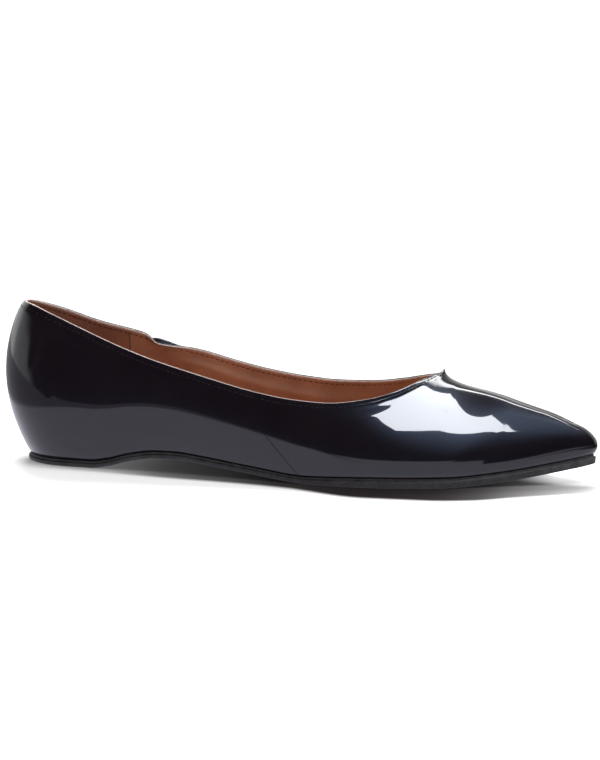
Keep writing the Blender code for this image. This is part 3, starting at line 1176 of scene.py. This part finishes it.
def stitchRow(name, depth, tree):
    curve = bpy.data.curves.new(name + "Path", "CURVE")
    curve.dimensions = "3D"
    row = edgeRow(upper["stitchDrop"], depth)
    points = [row[c] - cadCentre for c in openOrder(0)]
    spline = curve.splines.new("POLY")
    spline.points.add(len(points) - 1)
    for target, point in zip(spline.points, points):
        target.co = (*point, 1.0)
    guide = placed(name + "Path", curve)
    modifier = guide.modifiers.new("stitches", "NODES")
    modifier.node_group = tree
    values = {**stitches, "Thread": materials["thread"]}
    for item in tree.interface.items_tree:
        if item.item_type == "SOCKET" and item.in_out == "INPUT" and item.name in values:
            modifier[item.identifier] = values[item.name]
    graph = bpy.context.evaluated_depsgraph_get()
    made = bpy.data.meshes.new_from_object(guide.evaluated_get(graph))
    guide.modifiers.remove(modifier)
    bpy.data.objects.remove(guide, do_unlink=True)
    return placed(name, made)


rowTree = stitchTree()
outsideStitches = stitchRow("outsideStitches", stitches["outsideDepth"], rowTree)
insideStitches = stitchRow("insideStitches", shoe["wall"] + stitches["insideDepth"], rowTree)
print("stitches ready, faces:", len(outsideStitches.data.polygons))

for piece, slotName in (
    (upperSkin, "patent"), (edgeBand, "lining"), (liningSkin, "lining"), (sockInsole, "lining"),
    (soleUnit, "sole"), (outsideStitches, "thread"), (insideStitches, "thread"),
):
    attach(piece, "root")
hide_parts("upper")
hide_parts("outsole")
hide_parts("insole")

# Camera at the photograph's angle

view = {
    "azimuth": 6.69,
    "elevation": 8.12,
    "roll": -1.44,
    "distance": 1.0,
    "lens": 107.75,
    "aimAlong": 0.1305,
    "aimHeight": 0.030,
    "right": 0.00113,
    "up": 0.00888,
}


def aimCamera():
    azimuth = math.radians(view["azimuth"])
    elevation = math.radians(view["elevation"])
    roll = math.radians(view["roll"])
    back = Vector((math.sin(azimuth) * math.cos(elevation), -math.cos(azimuth) * math.cos(elevation),
                   math.sin(elevation)))
    level = Vector((math.cos(azimuth), math.sin(azimuth), 0))
    upright = back.cross(level)
    right = level * math.cos(roll) - upright * math.sin(roll)
    up = level * math.sin(roll) + upright * math.cos(roll)
    centre = Vector((view["aimAlong"] - cadCentre[0], -cadCentre[1], view["aimHeight"]))
    centre = centre + right * view["right"] + up * view["up"]
    data = bpy.data.cameras.new("camera")
    data.lens = view["lens"]
    data.clip_end = 30
    camera = placed("camera", data)
    place = centre + back * view["distance"]
    camera.matrix_world = Matrix((
        (right.x, up.x, back.x, place.x),
        (right.y, up.y, back.y, place.y),
        (right.z, up.z, back.z, place.z),
        (0, 0, 0, 1),
    ))
    bpy.context.scene.camera = camera


aimCamera()

# Floor, lights and surroundings

studio = {
    "floorHalf": 6.0,
    "floorColour": rgb(0.90, 0.89, 0.89),
    "farColour": rgb(0.1, 0.1, 0.1),
    "glow": 1.0,
    "glowZone": (0.22, 0.60),
    "fill": 0.30,
    "seen": 1.1,
    "dark": 0.004,
    "paperLeft": (-0.217, -0.193),
    "paperRight": (0.163, 0.187),
    "paperFront": (-0.70, -0.50),
    "paperOpen": (-0.10, 0.0),
    "toeEdge": (-0.097, -0.073),
    "inGloss": 0.98,
    "paperTint": (0.97, 0.94, 1.07),
    "beyond": 0.30,
}

# The painted shade in front of the forefoot, darkening the floor's colour: its front edge, its back edge and
# its depth along the shoe
shade = {
    "along": (-0.120, -0.085, -0.052, -0.026, 0.000, 0.035, 0.061, 0.080, 0.097, 0.123, 0.140),
    "front": (
        -0.0250, -0.0295, -0.0360, -0.0400, -0.0460, -0.0605, -0.0600, -0.0550, -0.0440, -0.0290, -0.0200,
    ),
    "back": (0.020, 0.020, 0.020, 0.020, 0.020, 0.020, 0.020, 0.012, 0.004, -0.006, -0.010),
    "depth": (0.0, 0.30, 0.80, 0.90, 0.975, 0.99, 0.985, 0.95, 0.82, 0.45, 0.0),
    "softFront": 0.0055,
    "softBack": 0.020,
    "colour": rgb(0.014, 0.010, 0.011),
    "fineX": (-0.14, 0.1501),
    "fineY": (-0.09, 0.0601),
    "step": 0.001,
    # Painted light: within this reach the floor glows a little to lighten the shade, and glows more in a
    # patch under the toe
    "reach": 0.35,
    "glow": 0.16,
    "paintedLightUnderToe": 0.60,
    "toeX": (0.098, 0.114, 0.138, 0.150),
    "toeY": (-0.012, -0.004, 0.035, 0.045),
}


def floorMaterial():
    # Lit by the lamps near the shoe and glowing white farther out, like a long studio sweep; near the shoe a
    # painted shade darkens its colour and a painted glow lightens it, most under the toe
    shader = Shader("paleFloor")
    away = shader.node("ShaderNodeVectorMath", {"operation": "LENGTH"}, Vector=shader.place)["Value"]
    far = away.between(*studio["glowZone"])
    # Painted shade (the shade attribute) and painted light (the lift attribute), carried by the floor's
    # points
    dark = shader.node("ShaderNodeAttribute", {"attribute_name": "shade"})["Fac"]
    lift = shader.node("ShaderNodeAttribute", {"attribute_name": "lift"})["Fac"]
    glow = far * studio["glow"] + lift
    pale = shader.mix(far, studio["floorColour"], studio["farColour"])
    material = shader.finish(
        Base_Color=shader.mix(dark, pale, shade["colour"]),
        Roughness=0.9,
        Specular_IOR_Level=0.0,
        Emission_Color=shader.node("ShaderNodeCombineXYZ", X=glow, Y=glow, Z=glow)["Vector"],
        Emission_Strength=1.0,
    )
    # The glossy leather sees a smaller sheet of paper with a dim room past its edges
    x, y, z = shader.axes()
    left = x.between(*studio["paperLeft"])
    right = 1 - x.between(*studio["paperRight"]) * y.between(*studio["toeEdge"])
    front = 1 - (1 - y.between(*studio["paperFront"])) * (1 - x.between(*studio["paperOpen"]))
    sheet = left * right * front
    dim = (1 - left) * studio["beyond"] + studio["dark"]
    level = sheet * studio["inGloss"] + (1 - sheet) * dim
    gray = shader.node("ShaderNodeEmission", Color=(*studio["paperTint"], 1.0), Strength=level)["Emission"]
    glossy = shader.node("ShaderNodeLightPath")["Is Glossy Ray"]
    mixed = shader.tree.nodes.new("ShaderNodeMixShader")
    for socket, wire in zip(mixed.inputs, (glossy, Wire(shader.tree, shader.principled.outputs[0]), gray)):
        shader.feed(socket, wire)
    shader.tree.links.new(mixed.outputs[0], shader.tree.nodes["Material Output"].inputs["Surface"])
    return material


def gridLine(fine, nearest):
    outer = [nearest, 0.4, 1.0, studio["floorHalf"]]
    return np.concatenate([[-edge for edge in reversed(outer)], np.arange(*fine, shade["step"]), outer])


def hump(values, start, full, fading, end):
    return ramp(values, start, full) * (1 - ramp(values, fading, end))


def makeFloor():
    xs = gridLine(shade["fineX"], 0.2)
    ys = gridLine(shade["fineY"], 0.15)
    grid = np.array([(x, y, 0.0) for y in ys for x in xs])
    wide = len(xs)
    faces = []
    for row in range(len(ys) - 1):
        for column in range(wide - 1):
            corner = row * wide + column
            faces.append((corner, corner + 1, corner + wide + 1, corner + wide))
    data = bpy.data.meshes.new("floor")
    data.from_pydata(grid.tolist(), [], faces)
    x, y = grid[:, 0], grid[:, 1]
    front, back, depth = (monotone(shade["along"], shade[name], x) for name in ("front", "back", "depth"))
    rise = ramp(y - front, -shade["softFront"] / 2, shade["softFront"] / 2)
    fall = ramp(back - y, -shade["softBack"] / 2, shade["softBack"] / 2)
    # Painted shade: the share of the floor's colour darkened in front of and under the shoe
    dark = depth * rise * fall
    # Painted light: a glow outside the painted shade, brighter in a patch under the toe
    toe = hump(x, *shade["toeX"]) * hump(y, *shade["toeY"])
    lift = (1 - dark) * ((np.hypot(x, y) < shade["reach"]) * shade["glow"] + toe * shade["paintedLightUnderToe"])
    for name, amounts in (("shade", dark), ("lift", lift)):
        attribute = data.attributes.new(name, "FLOAT", "POINT")
        attribute.data.foreach_set("value", amounts.astype(np.float32))
    data.materials.append(floorMaterial())
    floor = placed("floor", data)


def aimed(lamp, place, aim, reflected, spin=0.0):
    lamp.location = place
    turn = (Vector(aim) - Vector(place)).to_track_quat("-Z", "Y")
    lamp.rotation_euler = (turn @ Quaternion((0, 0, 1), math.radians(spin))).to_euler()
    lamp.visible_glossy = reflected
    return lamp


def areaLight(name, place, aim, width, height, power, colour=(1, 1, 1), reflected=True, spin=0.0):
    data = bpy.data.lights.new(name, "AREA")
    data.shape = "RECTANGLE"
    data.size = width
    data.size_y = height
    data.energy = power
    data.color = colour
    return aimed(placed(name, data), place, aim, reflected, spin)


def sunLight(name, place, strength, spread):
    data = bpy.data.lights.new(name, "SUN")
    data.energy = strength
    data.angle = math.radians(spread)
    return aimed(placed(name, data), place, (0, 0, 0), False)


# What the gloss sees around the shoe, as limits on the parts of a direction
room = {
    "behind": (0.25, 0.50),
    "backdropTop": (0.60, 0.74),
    "backdrop": 0.85,
    "stripFrom": (0.770, 0.785),
    "stripTo": (0.815, 0.830),
    "stripBehind": (0.36, 0.44),
    "strip": 13.0,
    "panelSide": (-0.92, -0.80),
    "panelTop": (0.30, 0.50),
    "panel": 0.75,
    "riserSlope": 0.5,
    "riserTop": (0.115, 0.145),
    "riserFall": 2.4,
    "riserEnd": (1.94, 2.00),
    "riserFront": (-0.10, 0.0),
}


def surroundings():
    world = bpy.data.worlds.new("studio")
    bpy.context.scene.world = world
    world.use_nodes = True
    tree = world.node_tree
    background = tree.nodes["Background"]
    path = tree.nodes.new("ShaderNodeLightPath")
    place = tree.nodes.new("ShaderNodeTexCoord")
    parts = tree.nodes.new("ShaderNodeSeparateXYZ")
    tree.links.new(place.outputs["Generated"], parts.inputs[0])
    x, y, z = (Wire(tree, parts.outputs[name]) for name in "XYZ")
    backdrop = y.between(*room["behind"]) * (1 - z.between(*room["backdropTop"]))
    strip = z.between(*room["stripFrom"]) * (1 - z.between(*room["stripTo"]))
    strip = strip * y.between(*room["stripBehind"])
    panel = (1 - x.between(*room["panelSide"])) * (1 - z.between(*room["panelTop"]))
    riser = 1 - (z - x * room["riserSlope"]).between(*room["riserTop"])
    riser = riser * (1 - (z + x * room["riserFall"]).between(*room["riserEnd"]))
    riser = riser * (1 - y.between(*room["riserFront"]))
    glossy = backdrop * room["backdrop"] + strip * room["strip"] + panel * room["panel"]
    glossy = glossy + riser * studio["inGloss"] + studio["dark"]
    isGlossy = Wire(tree, path.outputs["Is Glossy Ray"])
    isCamera = Wire(tree, path.outputs["Is Camera Ray"])
    lit = isCamera * studio["seen"] + (1 - isCamera) * studio["fill"]
    strength = isGlossy * glossy + (1 - isGlossy) * lit
    tree.links.new(strength.socket, background.inputs["Strength"])
    # The riser has the paper's tint
    tint = tree.nodes.new("ShaderNodeCombineXYZ")
    for name, level in zip("XYZ", studio["paperTint"]):
        share = 1 + riser * isGlossy * (level - 1)
        tree.links.new(share.socket, tint.inputs[name])
    tree.links.new(tint.outputs["Vector"], background.inputs["Color"])


# Black cards that trim the softbox's reflection on the vamp toward the toe, the crest and the sole
Card = namedtuple("Card", "name height outline")
cards = (
    Card("toeCard", 0.12, (
        (0.118, 0.012), (0.114, -0.010), (0.118, -0.020), (0.127, -0.0275),
        (0.142, -0.0395), (0.162, -0.061), (0.230, -0.061), (0.230, 0.030), (0.118, 0.030),
    )),
    Card("crestCard", 1.0, (
        (0.44, 0.24), (0.44, 0.10), (0.385, 0.0), (0.378, -0.06), (0.396, -0.125),
        (0.30, -0.125), (0.22, 0.0), (0.22, 0.24),
    )),
    Card("soleCard", 0.12, (
        (0.060, -0.106), (0.090, -0.1025), (0.104, -0.088), (0.113, -0.077), (0.119, -0.067),
        (0.126, -0.052), (0.135, -0.051), (0.146, -0.054), (0.161, -0.061), (0.240, -0.061),
        (0.240, -0.200), (0.060, -0.200),
    )),
)


def blackCard(name, corners):
    data = bpy.data.meshes.new(name)
    data.from_pydata(corners, [], [tuple(range(len(corners)))])
    shader = Shader("blackCloth")
    data.materials.append(shader.finish(Base_Color=rgb(0, 0, 0), Roughness=1.0, Specular_IOR_Level=0.0))
    sheet = placed(name, data)
    for kind in ("camera", "diffuse", "shadow", "transmission"):
        setattr(sheet, "visible_" + kind, False)


# One more card stands in front of the toe, where the riser would show too high up
toeScreen = ((0.170, -0.100, 0.012), (0.450, -0.100, 0.012), (0.450, -0.100, 0.090), (0.170, -0.100, 0.090))

lamps = {
    "softbox": {
        "place": (0.777, -0.210, 1.397),
        "aim": (0.06, -0.015, 0.03),
        "width": 1.42,
        "height": 0.45,
        "power": 37.0,
        "colour": (0.94, 0.96, 1.0),
        "spin": 4.7,
    },
    "ceiling": {
        "place": (0.05, -0.10, 1.5),
        "aim": (0.0, 0.0, 0.0),
        "width": 0.9,
        "height": 0.9,
        "power": 14.0,
        "reflected": False,
    },
    "key": {"place": (-0.15, 0.80, 0.80), "strength": 4.6, "spread": 34.0},
}

makeFloor()
for card in cards:
    blackCard(card.name, [(x, y, card.height) for x, y in card.outline])
blackCard("toeScreen", toeScreen)
surroundings()
softbox = areaLight("softbox", **lamps["softbox"])
softbox.visible_diffuse = False
areaLight("ceiling", **lamps["ceiling"])
sunLight("key", **lamps["key"])
bpy.context.scene.view_settings.view_transform = "Standard"
bpy.context.scene.view_settings.look = "None"
print("camera, floor and lights ready")
